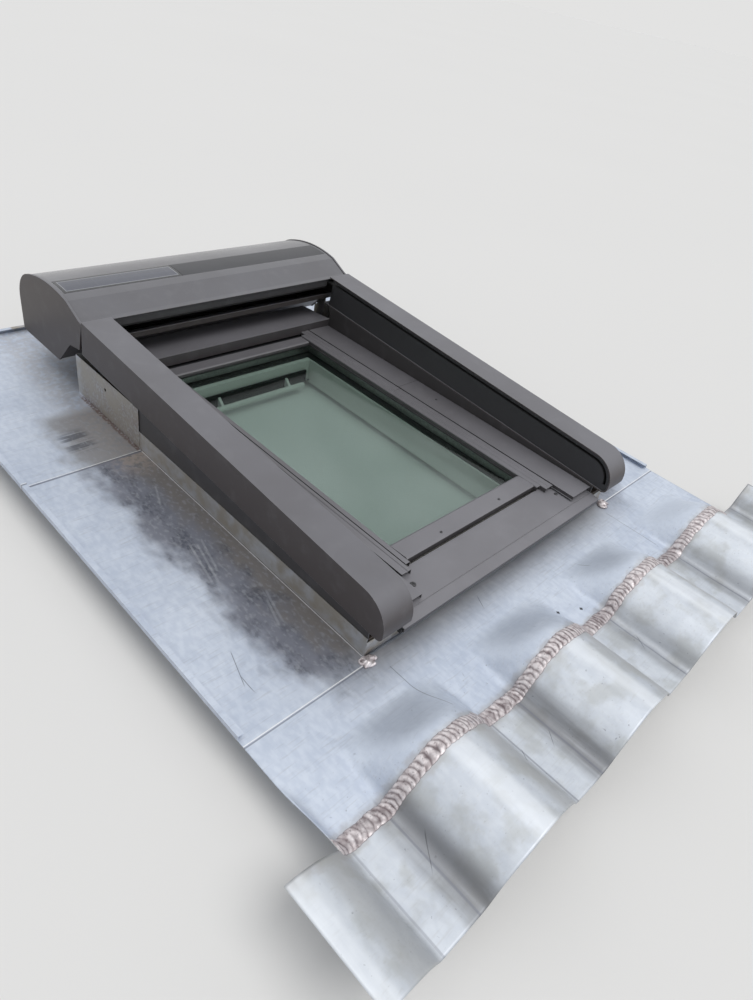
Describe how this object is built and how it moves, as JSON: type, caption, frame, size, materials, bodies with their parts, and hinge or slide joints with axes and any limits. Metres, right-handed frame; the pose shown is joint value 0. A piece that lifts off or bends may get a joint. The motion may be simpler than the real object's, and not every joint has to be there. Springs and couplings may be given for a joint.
{
  "type": "roof skylight",
  "caption": "Centre pivot roof window with metal covers, a sheet metal flashing dressed over roll tiles, and an outside roller shutter in a curved casing between two side rails.",
  "frame": {"origin": "middle of the whole part in plan, at the height of the timber frame's underside", "axes": "+X across the window, to the right looking up the roof; +Y up the roof slope; +Z out of the roof"},
  "size_m": [1.242, 1.445, 0.24],
  "materials": {
    "white_timber": "white lacquered, satin",
    "kerb_timber": "planed softwood",
    "cover_metal": "painted dark umber grey, fine satin",
    "window_metal": "painted umber grey, satin",
    "guide_plastic": "black extruded plastic",
    "brush": "black pile",
    "rubber": "matt black",
    "glass": "clear, faint green",
    "spacer": "mill finish",
    "zinc": "rolled zinc, weathered with white streaks",
    "solder": "bumpy solder, dull",
    "steel": "bright zinc plated",
    "solar": "dark cells under a clear face",
    "strip": "dark, half gloss",
    "slat": "painted slats, dark umber grey",
    "bar": "painted dark grey, scuffed",
    "motor": "black",
    "battery": "black, fine grain",
    "flap": "white, fine grain"
  },
  "bodies": {
    "frame": {"jamb_left": "white_timber", "jamb_right": "white_timber", "frame_head": "white_timber", "frame_sill": "white_timber", "kerb_left": "kerb_timber", "kerb_right": "kerb_timber", "kerb_back": "kerb_timber", "mounting_brackets": "steel", "upper_cover_left": "window_metal", "upper_cover_right": "window_metal", "bottom_cover": "window_metal", "hood": "window_metal", "hinge_channels": "steel", "frame_gasket": "rubber", "frame_screws": "steel", "lip_blocks": "rubber", "apron": "zinc", "side_sheet_left": "zinc", "side_sheet_right": "zinc", "back_sheet": "zinc", "dressed_strip": "zinc", "solder_seam": "solder", "rail_left": "cover_metal", "rail_right": "cover_metal", "rail_guide_left": "guide_plastic", "rail_guide_right": "guide_plastic", "rail_brushes": "brush", "rail_skirts": "cover_metal", "rail_brackets": "steel", "casing_cover": "cover_metal", "casing_floor": "cover_metal", "end_cap_left": "cover_metal", "end_cap_right": "cover_metal", "solar_panel": "solar", "cover_strip": "strip", "roller_bearings": "guide_plastic", "tube_motor": "motor", "battery_pack": "battery"},
    "sash": {"stile_left": "white_timber", "stile_right": "white_timber", "sash_bottom_rail": "white_timber", "sash_top_rail": "white_timber", "inner_pane": "glass", "outer_pane": "glass", "glass_spacer": "spacer", "glass_gaskets": "rubber", "sash_beads": "window_metal", "sash_bottom_cover": "window_metal", "sash_top_cover": "window_metal", "lower_cover_left": "window_metal", "lower_cover_right": "window_metal", "hinge_runners": "steel", "flap_ears": "steel", "sash_screws": "steel"},
    "flap": {"vent_flap": "flap", "control_bar": "spacer"},
    "curtain_bar": {"bottom_bar": "bar", "bar_seal": "rubber"},
    "roller": {"roller_tube": "steel", "curtain_roll": "slat"}
  },
  "joints": [
    {"name": "sash_pivot", "type": "hinge", "parent": "frame", "child": "sash", "pos_m": [0, 0.0545, 0.1], "axis": [-1, 0, 0], "range_deg": [0, 50]},
    {"name": "flap_hinge", "type": "hinge", "parent": "sash", "child": "flap", "pos_m": [0, 0.291, 0.0155], "axis": [1, 0, 0], "range_deg": [0, 30]},
    {"name": "bar_slide", "type": "slide", "parent": "frame", "child": "curtain_bar", "axis": [0, -0.998, -0.0625], "range_m": [0, 0.74]},
    {"name": "roller_spin", "type": "hinge", "parent": "frame", "child": "roller", "pos_m": [0, 0.5225, 0.163], "axis": [1, 0, 0], "range_deg": [0, 860]}
  ],
  "couplings": [
    {"joint": "roller_spin", "follows": "bar_slide", "rad_per_m": 20}
  ]
}
